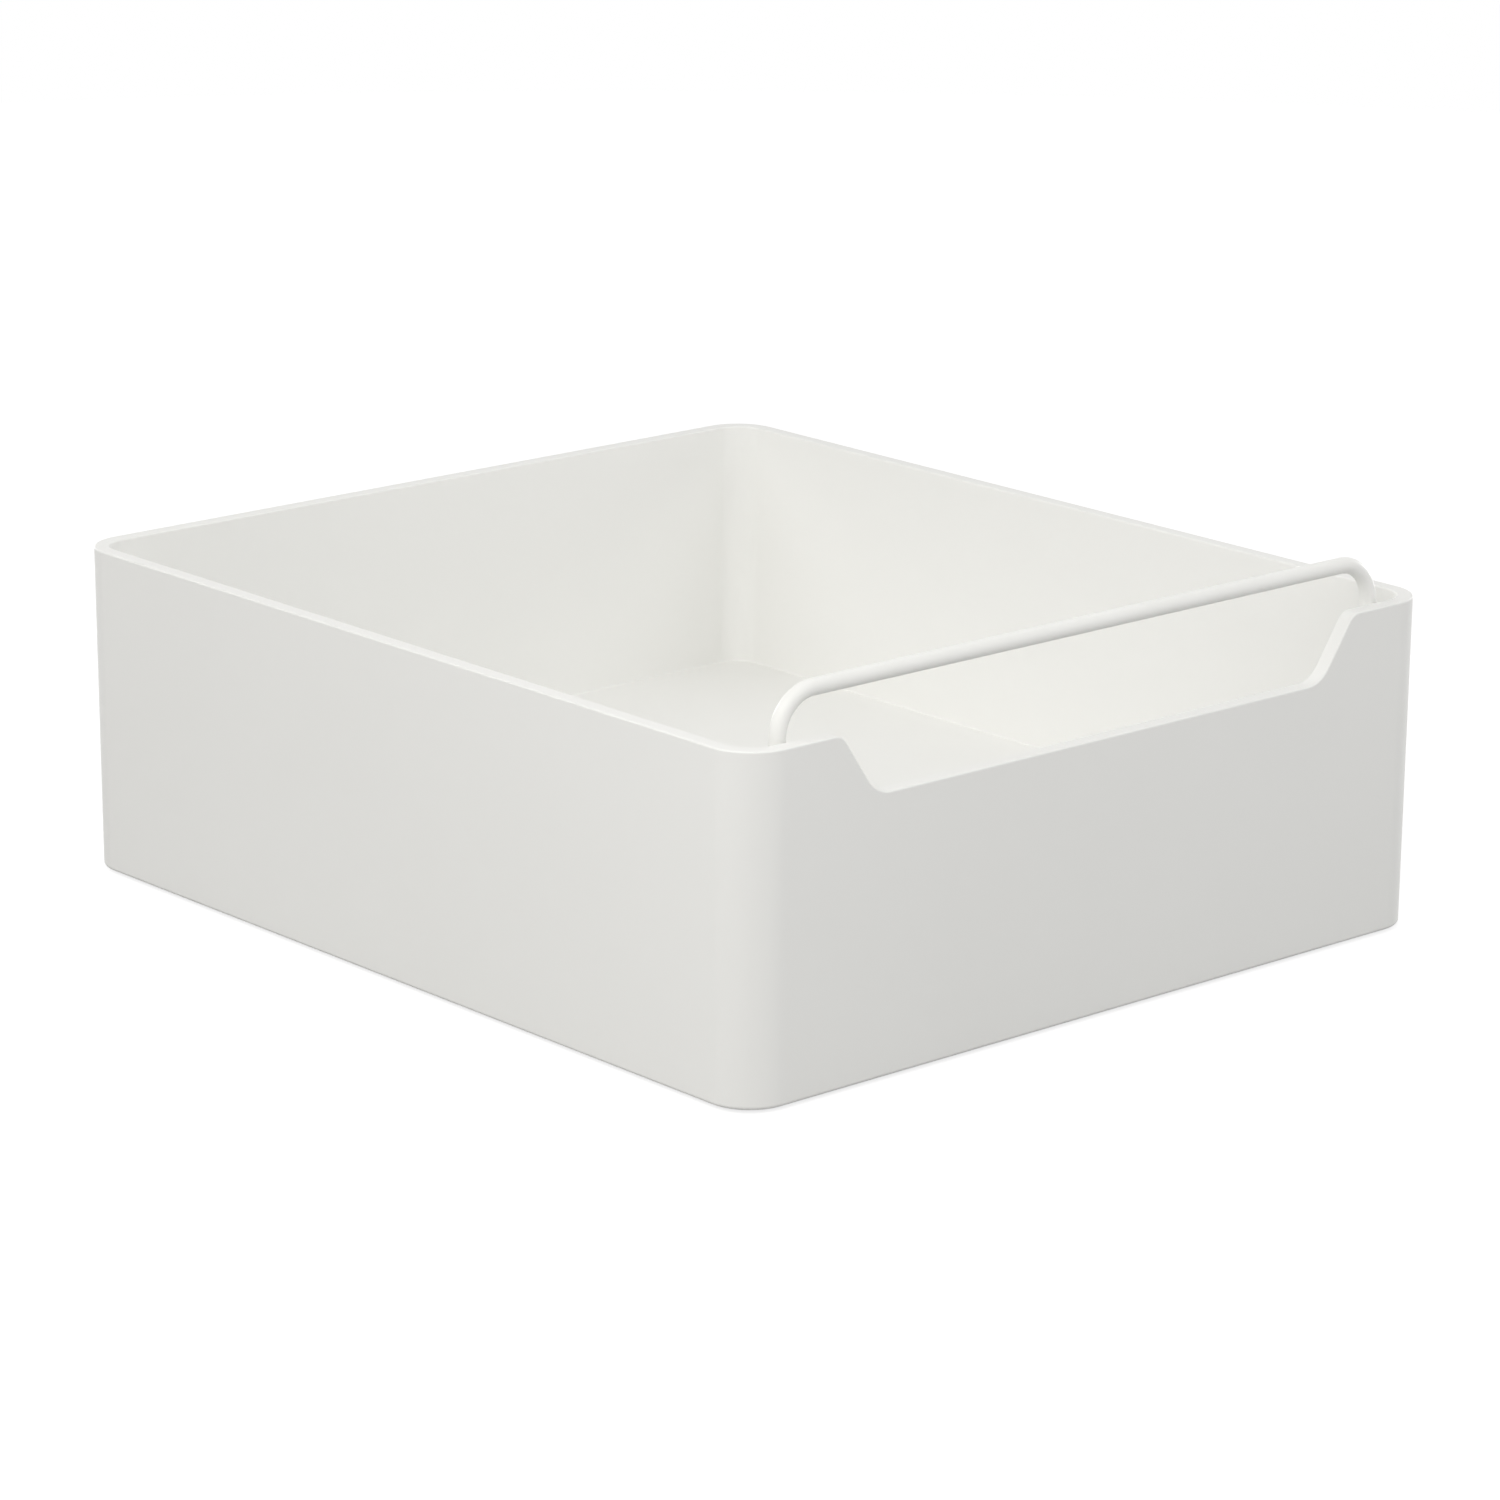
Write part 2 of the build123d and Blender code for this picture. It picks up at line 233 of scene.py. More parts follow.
class FinishBench(NodeBench):
    """Lays out a piece's finish, with patterns read at Object coordinates."""

    # Most values of a noise lie between these.
    usual_values: tuple[float, float] = (0.3, 0.7)

    def __init__(self, name: str) -> None:
        """Start a material.

        Args:
            name: The material's name.
        """
        self.material = bpy.data.materials.new(name)
        super().__init__(self.material)
        self.place = self.node("ShaderNodeTexCoord").outputs["Object"]

    def stretched(self, scale: Triple) -> Socket:
        """Object coordinates drawn out along the axes."""
        return self.node("ShaderNodeMapping", {"Vector": self.place}, Scale=scale).outputs["Vector"]

    def noise(self, mottle: Mottle, place: Socket | None = None) -> Socket:
        """Soft random values, read at a place of their own if one is given."""
        links = {"Vector": place or self.place}
        return self.node("ShaderNodeTexNoise", links, Scale=mottle.scale, Detail=mottle.detail).outputs["Fac"]

    def cells(self, scale: float) -> Socket:
        """Random values by cell, as in grains, with so many cells in a metre."""
        return self.node("ShaderNodeTexVoronoi", {"Vector": self.place}, Scale=scale).outputs["Distance"]

    def spread(self, values: Socket, low: float, high: float) -> Socket:
        """Values mapped to a range."""
        limits = dict(zip(("From Min", "From Max", "To Min", "To Max"), (*self.usual_values, low, high)))
        return self.node("ShaderNodeMapRange", {"Value": values}, **limits).outputs["Result"]

    def tints(self, values: Socket, first: Colour, second: Colour) -> Socket:
        """Mix two colours by values.

        Args:
            values: The socket with the values.
            first: The colour of the lower values.
            second: The colour of the higher values.

        Returns:
            The socket with the mixed colour.
        """
        ramp = self.node("ShaderNodeValToRGB", {"Fac": values})
        for stop, place, colour in zip(ramp.color_ramp.elements, self.usual_values, (first, second)):
            stop.position = place
            stop.color = (*colour, 1.0)
        return ramp.outputs["Color"]

    def bump(self, height: Socket, relief: Relief, under: Socket | None = None) -> Socket:
        """The normal of a relief, which may lie over another."""
        links = {"Height": height, "Normal": under} if under else {"Height": height}
        bump = self.node("ShaderNodeBump", links, Strength=relief.strength, Distance=relief.depth)
        return bump.outputs["Normal"]

    def shade(self, colour: Socket, roughness: Socket, normal: Socket, **values: float) -> bpy.types.Material:
        """Finish the material with a plastic or metal shader.

        Args:
            colour: The socket with the colour.
            roughness: The socket with the roughness.
            normal: The socket with the normal.
            **values: The shader's fixed inputs.

        Returns:
            The material.
        """
        links = {"Base Color": colour, "Roughness": roughness, "Normal": normal}
        shader = self.node("ShaderNodeBsdfPrincipled", links, **values)
        self.node("ShaderNodeOutputMaterial", {"Surface": shader.outputs["BSDF"]})
        return self.material


@dataclass(frozen=True)
class MouldedPlastic:
    """Satin injection-moulded plastic with a fine eroded grain and faint flow tints."""

    name: str
    colour: Colour
    shaded: Colour
    smooth: float = 0.52
    dull: float = 0.64
    gloss: float = 0.22
    index: float = 1.49
    flow: Mottle = Mottle(7.0, 3.0)
    cloud: Mottle = Mottle(45.0)
    grain: Mottle = Mottle(1500.0, 3.0)
    sag: Relief = Relief(0.25, 0.6 * MM)
    erosion: Relief = Relief(0.25, 0.03 * MM)

    def material(self) -> bpy.types.Material:
        """Lay the finish out.

        Returns:
            The finish as a material.
        """
        bench = FinishBench(self.name)
        flow = bench.noise(self.flow)
        return bench.shade(
            bench.tints(flow, self.shaded, self.colour),
            bench.spread(bench.noise(self.cloud), self.smooth, self.dull),
            bench.bump(bench.noise(self.grain), self.erosion, under=bench.bump(flow, self.sag)),
            IOR=self.index, Specular_IOR_Level=self.gloss,
        )


@dataclass(frozen=True)
class PowderCoat:
    """Baked powder on wire, with the slight ripple that the powder leaves as it melts."""

    name: str
    colour: Colour
    shaded: Colour
    smooth: float = 0.42
    dull: float = 0.52
    gloss: float = 0.35
    index: float = 1.5
    cover: Mottle = Mottle(60.0)
    specks: Mottle = Mottle(2600.0, 1.0)
    ripple: Mottle = Mottle(520.0)
    melt: Relief = Relief(0.3, 0.05 * MM)

    def material(self) -> bpy.types.Material:
        """Lay the finish out.

        Returns:
            The finish as a material.
        """
        bench = FinishBench(self.name)
        return bench.shade(
            bench.tints(bench.noise(self.cover), self.shaded, self.colour),
            bench.spread(bench.noise(self.specks), self.smooth, self.dull),
            bench.bump(bench.noise(self.ripple), self.melt),
            IOR=self.index, Specular_IOR_Level=self.gloss,
        )


@dataclass(frozen=True)
class Elastomer:
    """Matt soft rubber with a pale bloom on its surface."""

    name: str
    colour: Colour
    pale: Colour
    smooth: float = 0.68
    dull: float = 0.86
    index: float = 1.52
    bloom: Mottle = Mottle(240.0, 4.0)
    pores: Mottle = Mottle(3200.0)
    skin: Relief = Relief(0.4, 0.03 * MM)

    def material(self) -> bpy.types.Material:
        """Lay the finish out.

        Returns:
            The finish as a material.
        """
        bench = FinishBench(self.name)
        bloom = bench.noise(self.bloom)
        return bench.shade(
            bench.tints(bloom, self.colour, self.pale),
            bench.spread(bloom, self.smooth, self.dull),
            bench.bump(bench.noise(self.pores), self.skin),
            IOR=self.index,
        )


@dataclass(frozen=True)
class TurnedSteel:
    """Bare or plated steel with fine marks that run round or along the piece."""

    name: str
    colour: Colour
    patina: Colour
    lay: Triple
    smooth: float = 0.22
    dull: float = 0.36
    crystals: float = 700.0
    marks: Mottle = Mottle(900.0, 3.0)
    scratch: Relief = Relief(0.2, 0.01 * MM)

    def material(self) -> bpy.types.Material:
        """Lay the finish out.

        Returns:
            The finish as a material.
        """
        bench = FinishBench(self.name)
        marks = bench.noise(self.marks, bench.stretched(self.lay))
        return bench.shade(
            bench.tints(bench.cells(self.crystals), self.colour, self.patina),
            bench.spread(marks, self.smooth, self.dull),
            bench.bump(marks, self.scratch),
            Metallic=1.0,
        )


Finish = MouldedPlastic | PowderCoat | Elastomer | TurnedSteel

SHELL_PLASTIC = MouldedPlastic("satin off-white plastic", (0.866, 0.866, 0.847), (0.852, 0.852, 0.832))
BRACKET_PLASTIC = MouldedPlastic("bracket plastic", (0.78, 0.78, 0.76), (0.74, 0.74, 0.715))
ACETAL = MouldedPlastic(
    "natural acetal", (0.8, 0.8, 0.78), (0.77, 0.77, 0.745),
    smooth=0.34, dull=0.44, gloss=0.5, grain=Mottle(2200.0, 3.0),
)
HANDLE_COAT = PowderCoat("satin white powder coat", (0.87, 0.87, 0.85), (0.85, 0.85, 0.825))
FOOT_RUBBER = Elastomer("pale grey foot rubber", (0.5, 0.5, 0.48), (0.58, 0.58, 0.56))
TYRE_RUBBER = Elastomer("grey tyre rubber", (0.2, 0.2, 0.195), (0.27, 0.27, 0.262))
AXLE_STEEL = TurnedSteel("ground steel", (0.66, 0.66, 0.67), (0.6, 0.6, 0.61), lay=(0.06, 1.0, 1.0))
SCREW_STEEL = TurnedSteel("zinc plate", (0.68, 0.69, 0.7), (0.58, 0.59, 0.57), lay=(1.0, 1.0, 0.1))


def only(kind: type, geometry: Sequence) -> list:
    """The items of one kind."""
    return [item for item in geometry if isinstance(item, kind)]


def push(bm: BMesh, edges: Sequence[BMEdge], by: Vector) -> list[BMEdge]:
    """Draw edges out into a sheet.

    Args:
        bm: The mesh that holds the edges.
        edges: The edges at the sheet's start.
        by: How far and which way the sheet runs.

    Returns:
        The edges at the sheet's end.
    """
    made = bmesh.ops.extrude_edge_only(bm, edges=edges)["geom"]
    verts = only(BMVert, made)
    bmesh.ops.translate(bm, verts=verts, vec=by)
    far = set(verts)
    return [edge for edge in only(BMEdge, made) if far.issuperset(edge.verts)]


def turn(
    bm: BMesh, edges: Sequence[BMEdge], centre: Vector, axis: Vector, angle: float, steps: int
) -> list[BMEdge]:
    """Swing edges round an axis into a curved sheet.

    Args:
        bm: The mesh that holds the edges.
        edges: The edges at the sheet's start.
        centre: A point on the axis.
        axis: The axis.
        angle: How far the edges swing, by the right-hand rule.
        steps: Faces along the curve.

    Returns:
        The edges at the sheet's end.
    """
    verts = list(dict.fromkeys(vert for edge in edges for vert in edge.verts))
    swept = bmesh.ops.spin(
        bm, geom=[*verts, *edges], cent=centre, axis=axis, dvec=Vector(),
        angle=angle, steps=steps, use_merge=False,
    )
    return only(BMEdge, swept["geom_last"])


def chain(bm: BMesh, points: Sequence[Vector], closed: bool = False) -> list[BMEdge]:
    """Lay a chain of edges and number its points.

    Args:
        bm: The mesh that gets the chain.
        points: The chain's points.
        closed: Whether the last point joins the first.

    Returns:
        The chain's edges.
    """
    station = bm.verts.layers.int.new(STATION)
    verts = [bm.verts.new(point) for point in points]
    for index, vert in enumerate(verts):
        vert[station] = index
    ends = [*verts[1:], verts[0]] if closed else verts[1:]
    return [bm.edges.new(pair) for pair in zip(verts, ends)]


def round_edges(bm: BMesh, edges: Sequence[BMEdge], radius: float, arc: Arc) -> None:
    """Round edges of a mesh.

    Args:
        bm: The mesh.
        edges: The edges.
        radius: The round's radius.
        arc: Faces across the round.
    """
    bmesh.ops.bevel(bm, geom=edges, offset=radius, segments=arc, profile=0.5, affect="EDGES", material=-1)


def round_bands(bm: BMesh, radius: float, *bands: int, arc: Arc = Arc.PLAIN) -> None:
    """Round the edges that run along given points of the section that a mesh was swept from.

    Args:
        bm: The mesh.
        radius: The round's radius.
        *bands: The numbers of the points.
        arc: Faces across the round.
    """
    station = bm.verts.layers.int[STATION]
    edges = [edge for edge in bm.edges if edge.verts[0][station] == edge.verts[1][station] in bands]
    round_edges(bm, edges, radius, arc)


def lathe(outline: Outline, closed: bool = False, facets: Facets = Facets.RING) -> BMesh:
    """Turn an outline about the Z axis.

    Args:
        outline: Points as radius and height.
        closed: Whether the outline is a ring's section, clear of the axis.
        facets: Faces round the axis.

    Returns:
        The turned mesh.
    """
    bm = bmesh.new()
    edges = chain(bm, [Vector((radius, 0.0, height)) for radius, height in outline], closed)
    bmesh.ops.spin(
        bm, geom=[*bm.verts, *edges], cent=Vector(), axis=UP, dvec=Vector(),
        angle=FULL_TURN, steps=facets, use_merge=True,
    )
    bmesh.ops.remove_doubles(bm, verts=bm.verts, dist=WELD)
    bmesh.ops.recalc_face_normals(bm, faces=bm.faces)
    return bm


def rod(radius: float, low: float, high: float, facets: Facets = Facets.PIN) -> BMesh:
    """A plain round rod about the Z axis."""
    return lathe([(0.0, low), (radius, low), (radius, high), (0.0, high)], facets=facets)


def block(low: Vector, high: Vector) -> BMesh:
    """A block between two corners.

    Args:
        low: The lowest corner.
        high: The highest corner.

    Returns:
        The block's mesh.
    """
    bm = bmesh.new()
    bmesh.ops.create_cube(bm, size=1.0)
    bmesh.ops.scale(bm, verts=bm.verts, vec=high - low)
    return moved(bm, (low + high) / 2)


def round_cornered(bm: BMesh, radius: float, arc: Arc) -> BMesh:
    """Round the upright edges of a block.

    Args:
        bm: The block.
        radius: The radius of its corners in plan.
        arc: Faces across each corner.

    Returns:
        The rounded block.
    """
    upright = [edge for edge in bm.edges if abs(edge.verts[0].co.z - edge.verts[1].co.z) > WELD]
    round_edges(bm, upright, radius, arc)
    return bm


def moved(bm: BMesh, by: Vector) -> BMesh:
    """The mesh after a move."""
    bmesh.ops.translate(bm, verts=bm.verts, vec=by)
    return bm


def laid_across(bm: BMesh, centre: Vector) -> BMesh:
    """The mesh with its Z axis laid along X, about a new centre."""
    bmesh.ops.rotate(bm, verts=bm.verts, cent=Vector(), matrix=Matrix.Rotation(QUARTER_TURN, 3, "Y"))
    return moved(bm, centre)


def cut_front(bm: BMesh, y: float) -> list[BMEdge]:
    """Cut away what stands in front of an upright plane.

    Args:
        bm: The mesh.
        y: Where the plane stands.

    Returns:
        The edges along the cut.
    """
    cut = bmesh.ops.bisect_plane(
        bm, geom=[*bm.verts, *bm.edges, *bm.faces], dist=WELD,
        plane_co=Vector((0, y, 0)), plane_no=-TO_REAR, clear_outer=True,
    )
    return only(BMEdge, cut["geom_cut"])


def shaved(bm: BMesh, y: float) -> BMesh:
    """Cut a flat across the front of a mesh.

    Args:
        bm: The closed mesh.
        y: Where the flat stands.

    Returns:
        The mesh with its flat.
    """
    bmesh.ops.edgeloop_fill(bm, edges=cut_front(bm, y))
    bmesh.ops.recalc_face_normals(bm, faces=bm.faces)
    return bm


def bare_object(bm: BMesh, name: str) -> Piece:
    """Hand a mesh over to an object in the scene.

    Args:
        bm: The mesh, which is freed.
        name: The object's name.

    Returns:
        The object, at the origin.
    """
    mesh = bpy.data.meshes.new(name)
    bm.to_mesh(mesh)
    bm.free()
    made = bpy.data.objects.new(name, mesh)
    bpy.context.scene.collection.objects.link(made)
    return made


def carved(bm: BMesh, tools: Sequence[tuple[Carve, BMesh]]) -> BMesh:
    """Join solids to a solid and cut solids out of it.

    Args:
        bm: The solid, which is freed.
        tools: What is done with each tool, and the tool, which is freed.

    Returns:
        The carved solid, with close points welded and flat stretches joined to one face.
    """
    stock = bare_object(bm, "stock")
    shapes = []
    for index, (how, tool) in enumerate(tools):
        shape = bare_object(tool, f"tool_{index}")
        step = stock.modifiers.new(shape.name, "BOOLEAN")
        step.operation = how.value
        step.solver = "EXACT"
        step.object = shape
        shapes.append(shape)
    result = bmesh.new()
    result.from_object(stock, bpy.context.evaluated_depsgraph_get())
    for used in (stock, *shapes):
        mesh = used.data
        bpy.data.objects.remove(used)
        bpy.data.meshes.remove(mesh)
    bmesh.ops.remove_doubles(result, verts=result.verts, dist=WELD)
    bmesh.ops.dissolve_degenerate(result, dist=WELD, edges=result.edges)
    bmesh.ops.dissolve_limit(
        result, angle_limit=FLAT_ANGLE, use_dissolve_boundaries=False, verts=result.verts, edges=result.edges
    )
    return result


def finished(bm: BMesh, tag: Tag, finish: Finish) -> Piece:
    """Shade a mesh smooth up to its sharp edges, dress it and set it on its body.

    Args:
        bm: The finished mesh, which is freed.
        tag: The piece's name, node, body and slot.
        finish: The piece's finish.

    Returns:
        The piece.
    """
    if STATION in bm.verts.layers.int:
        bm.verts.layers.int.remove(bm.verts.layers.int[STATION])
    for face in bm.faces:
        face.smooth = True
    for edge in bm.edges:
        edge.smooth = edge.calc_face_angle(0.0) < SHARP_ANGLE
    piece = bare_object(bm, tag.name)
    piece.data.materials.append(finish.material())
    normals = piece.modifiers.new("flat faces stay flat", "WEIGHTED_NORMAL")
    normals.keep_sharp = True
    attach(piece, tag.body)
    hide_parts(tag.node)
    return piece


@dataclass
class Notch:
    """Half of the front wall's notch, from the middle to the rim: floor, round, sloping end, round."""

    rim_top: float
    top_half: float
    depth: float = 18.8 * MM
    end_run: float = 12.8 * MM
    top_round: float = 5.0 * MM
    floor_round: float = 10.0 * MM
    steps: int = 8

    def __post_init__(self) -> None:
        """Work out where the rounds begin and end."""
        self.slope = math.atan2(self.depth, self.end_run)
        self.floor = self.rim_top - self.depth
        half_turn = math.tan(self.slope / 2)
        self.floor_end = self.top_half - self.end_run - self.floor_round * half_turn
        self.reach = self.top_half + self.top_round * half_turn

    def columns(self) -> list[float]:
        """Find where the wall needs an edge, so that both rounds are smooth.

        Returns:
            Places along X.
        """
        bends = [self.slope * step / self.steps for step in range(self.steps + 1)]
        lower = [self.floor_end + self.floor_round * math.sin(bend) for bend in bends]
        return lower + [self.reach - self.top_round * math.sin(bend) for bend in bends]

    def height(self, x: float) -> float:
        """Find how high the wall stands.

        Args:
            x: A place along the front wall, from its middle.

        Returns:
            The height of the wall's top there.
        """
        along, back = x - self.floor_end, self.reach - x
        if along <= 0:
            return self.floor
        if back <= 0:
            return self.rim_top
        if along <= self.floor_round * math.sin(self.slope):
            return self.floor + self.floor_round - math.sqrt(self.floor_round**2 - along**2)
        if back <= self.top_round * math.sin(self.slope):
            return self.rim_top - self.top_round + math.sqrt(self.top_round**2 - back**2)
        return self.rim_top - (self.top_half - x) * math.tan(self.slope)


@dataclass
class BinShell:
    """The moulded bin: drafted walls, notch, floor on a skirt, guide columns, ribs and screw bosses."""

    corner_radius: float = 14.0 * MM
    corner_steps: int = 14
    wall: float = 4.8 * MM
    draft: float = math.radians(0.3)
    rim_round: float = 0.576 * MM
    # The leaning wall's sharp rim stands this far out past the rounded one.
    rim_overlap: float = 0.0025 * MM
    floor_rise: float = 20.0 * MM
    floor_thickness: float = 3.0 * MM
    floor_round: float = 0.4 * MM
    skirt_wall: float = 3.0 * MM
    skirt_round: float = 1.2 * MM
    shoulder_flat: float = 20.0 * MM
    column_radius: float = 7.5 * MM
    column_round: float = 1.0 * MM
    column_foot: float = 4.0 * MM
    column_seam: float = math.radians(3.6)
    leg_clearance: float = 0.4 * MM
    cap_clearance: float = 0.3 * MM
    rib_thickness: float = 2.0 * MM
    rib_depth: float = 5.0 * MM
    rib_rows: int = 4
    rib_columns: int = 3
    rib_margin: float = 12.0 * MM
    boss_radius: float = 3.6 * MM
    boss_height: float = 5.5 * MM
    screw_cover: float = 1.7 * MM

    def __post_init__(self) -> None:
        """Take the shell's outside from its node."""
        shell = NodeBox.of("bin_shell")
        self.width = shell.size.x + 2 * self.rim_overlap
        self.depth = shell.size.y + 2 * self.rim_overlap
        self.base, self.rim_top = shell.low.z, shell.high.z
        self.floor_top = self.base + self.floor_rise
        self.floor_under = self.floor_top - self.floor_thickness
        self.floor_middle = self.floor_under + self.floor_thickness / 2
        self.lean = math.tan(self.draft)
        self.straight_x = self.width / 2 - self.corner_radius
        self.straight_y = self.depth / 2 - self.corner_radius
        self.skirt_inset = (self.rim_top - self.base) * self.lean
        self.skirt_middle = self.skirt_inset + self.skirt_wall / 2
        self.notch = Notch(self.rim_top, self.straight_x - self.shoulder_flat)

    def section(self) -> Outline:
        """Draw the wall's section, in the order of Band.

        Returns:
            Points as inset from the rim's outside and height.
        """
        pocket = self.skirt_inset + self.skirt_wall
        return [
            (pocket + (self.floor_under - self.base) * self.lean, self.floor_under),
            (pocket, self.base),
            (self.skirt_inset, self.base),
            (0.0, self.rim_top),
            (self.wall, self.rim_top),
            (self.wall + (self.rim_top - self.floor_top) * self.lean, self.floor_top),
        ]

    def half_wall(self) -> BMesh:
        """Sweep the right half of the wall from the middle of the rear round to the middle of the front.

        Returns:
            The half wall, open at both ends.
        """
        bm = bmesh.new()
        edges = chain(bm, [Vector((0.0, self.depth / 2 - inset, height)) for inset, height in self.section()])
        edges = push(bm, edges, Vector((self.straight_x, 0, 0)))
        rear_corner = Vector((self.straight_x, self.straight_y, 0))
        edges = turn(bm, edges, rear_corner, UP, -QUARTER_TURN, self.corner_steps)
        edges = push(bm, edges, Vector((0, -2 * self.straight_y, 0)))
        front_corner = Vector((self.straight_x, -self.straight_y, 0))
        edges = turn(bm, edges, front_corner, UP, -QUARTER_TURN, self.corner_steps)
        push(bm, edges, Vector((-self.straight_x, 0, 0)))
        bmesh.ops.remove_doubles(bm, verts=bm.verts, dist=WELD)
        return bm

    def front_faces(self, bm: BMesh) -> list[BMFace]:
        """The faces of the straight part of the front wall."""
        return [
            face for face in bm.faces
            if all(vert.co.y < -self.straight_y and vert.co.x < self.straight_x + WELD for vert in face.verts)
        ]

    def cut_notch(self, bm: BMesh) -> None:
        """Divide the front wall at the notch's rounds and lower its top to the notch's outline.

        Args:
            bm: The half wall.
        """
        for x in self.notch.columns():
            faces = self.front_faces(bm)
            edges = list(dict.fromkeys(edge for face in faces for edge in face.edges))
            verts = list(dict.fromkeys(vert for face in faces for vert in face.verts))
            bmesh.ops.bisect_plane(
                bm, geom=[*verts, *edges, *faces], dist=WELD, plane_co=Vector((x, 0, 0)), plane_no=TO_RIGHT
            )
        station = bm.verts.layers.int[STATION]
        for vert in bm.verts:
            on_rim = vert[station] in (Band.RIM_OUTSIDE, Band.RIM_INSIDE)
            if on_rim and vert.co.y < -self.straight_y and vert.co.x < self.notch.reach:
                drop = self.rim_top - self.notch.height(vert.co.x)
                vert.co += Vector((0, drop * self.lean, -drop))

    def tray(self) -> BMesh:
        """Make the whole wall with floor and skirt.

        Returns:
            The tray, closed and rounded.
        """
        bm = self.half_wall()
        self.cut_notch(bm)
        half = [*bm.verts, *bm.edges, *bm.faces]
        bmesh.ops.mirror(bm, geom=half, matrix=Matrix.Identity(4), merge_dist=WELD, axis="X")
        bmesh.ops.remove_doubles(bm, verts=bm.verts, dist=WELD)
        station = bm.verts.layers.int[STATION]
        for band in (Band.POCKET_ROOF, Band.FLOOR):
            rim = [edge for edge in bm.edges if edge.is_boundary and edge.verts[0][station] == band]
            bmesh.ops.edgeloop_fill(bm, edges=rim)
        bmesh.ops.recalc_face_normals(bm, faces=bm.faces)
        round_bands(bm, self.floor_round, Band.FLOOR)
        round_bands(bm, self.skirt_round, Band.SKIRT_OUTSIDE)
        round_bands(bm, self.rim_round, Band.RIM_OUTSIDE, Band.RIM_INSIDE, arc=Arc.WIDE)
        return bm

    def column(self, leg: Vector, top: float) -> BMesh:
        """One guide column: round behind, straight-sided towards the front wall, with a rounded top.

        Args:
            leg: The middle of the leg that runs in it.
            top: The column's height above the shelf.

        Returns:
            The column's mesh.
        """
        bm = bmesh.new()
        bmesh.ops.create_circle(bm, cap_ends=True, segments=Facets.COLUMN, radius=self.column_radius)
        root = -self.depth / 2 + self.skirt_middle
        push(bm, cut_front(bm, 0.0), Vector((0, root - leg.y, 0)))
        bmesh.ops.dissolve_limit(bm, angle_limit=self.column_seam, verts=bm.verts, edges=bm.edges)
        lid = bmesh.ops.extrude_face_region(bm, geom=bm.faces[:])["geom"]
        bmesh.ops.translate(bm, verts=only(BMVert, lid), vec=(top - self.column_foot) * UP)
        bmesh.ops.recalc_face_normals(bm, faces=bm.faces)
        round_edges(bm, only(BMEdge, lid), self.column_round, Arc.FINE)
        return moved(bm, Vector((leg.x, leg.y, self.column_foot)))

    def bore(self, side: Side, leg: Vector) -> BMesh:
        """The stepped hole of one guide column: cap bore from below, leg bore, bush seat from above.

        Args:
            side: The column's hand.
            leg: The middle of the leg.

        Returns:
            The hole as a solid.
        """
        bush, cap = NodeBox.of("guide_bush", side), NodeBox.of("leg_cap", side)
        cap_bore = cap.size.x / 2 + self.cap_clearance
        leg_bore = HandleSet.wire_radius + self.leg_clearance
        bush_seat = GuideBushes.tube_radius()
        step = cap.high.z + self.cap_clearance
        below, above = self.column_foot - OVERRUN, bush.high.z
        outline = [
            (0.0, below), (cap_bore, below), (cap_bore, step), (leg_bore, step), (leg_bore, bush.low.z),
            (bush_seat, bush.low.z), (bush_seat, above), (0.0, above),
        ]
        return moved(lathe(outline, facets=Facets.COLUMN), leg)

    def ribs(self) -> list[BMesh]:
        """Lay the grid of ribs under the floor, clear of the columns and the roller brackets.

        Returns:
            One mesh for each rib.
        """
        bracket = NodeBox.of("roller_bracket", Side.RIGHT)
        low, high = self.floor_under - self.rib_depth, self.floor_middle
        half_width, half_depth = self.width / 2 - self.skirt_middle, self.depth / 2 - self.skirt_middle
        front = HandleSet.leg_place(Side.RIGHT).y + self.column_radius + self.rib_margin
        rear = bracket.low.y - self.rib_margin
        outer = bracket.low.x - self.rib_margin
        half = self.rib_thickness / 2
        made = []
        for row in range(self.rib_rows):
            y = front + (rear - front) * row / (self.rib_rows - 1)
            made.append(block(Vector((-half_width, y - half, low)), Vector((half_width, y + half, high))))
        for file in range(self.rib_columns):
            x = -outer + 2 * outer * file / (self.rib_columns - 1)
            made.append(block(Vector((x - half, -half_depth, low)), Vector((x + half, half_depth, high))))
        return made

    def screw_bosses(self) -> list[tuple[Carve, BMesh]]:
        """Make the posts that take the bracket screws.

        Returns:
            Each post to join and its hole to cut.
        """
        made = []
        bottom = self.floor_under - self.boss_height
        hole_top = self.floor_top - self.screw_cover
        for place in BracketScrews.places():
            post = rod(self.boss_radius, bottom, self.floor_middle)
            hole = rod(BracketScrews.radius, bottom - OVERRUN, hole_top, Facets.SCREW_HOLE)
            made += [(Carve.JOIN, moved(post, place)), (Carve.CUT, moved(hole, place))]
        return made

    def build(self) -> list[Piece]:
        """Carve the moulding and dress it.

        Returns:
            The bin.
        """
        tools = [(Carve.JOIN, rib) for rib in self.ribs()]
        tools += self.screw_bosses()
        for side in Side:
            leg = HandleSet.leg_place(side)
            flange_under = NodeBox.of("guide_bush", side).high.z - GuideBushes.flange_thickness
            tools += [(Carve.JOIN, self.column(leg, flange_under)), (Carve.CUT, self.bore(side, leg))]
        tag = Tag("moulded_bin", "bin_shell", "bin", "shell_plastic")
        return [finished(carved(self.tray(), tools), tag, SHELL_PLASTIC)]


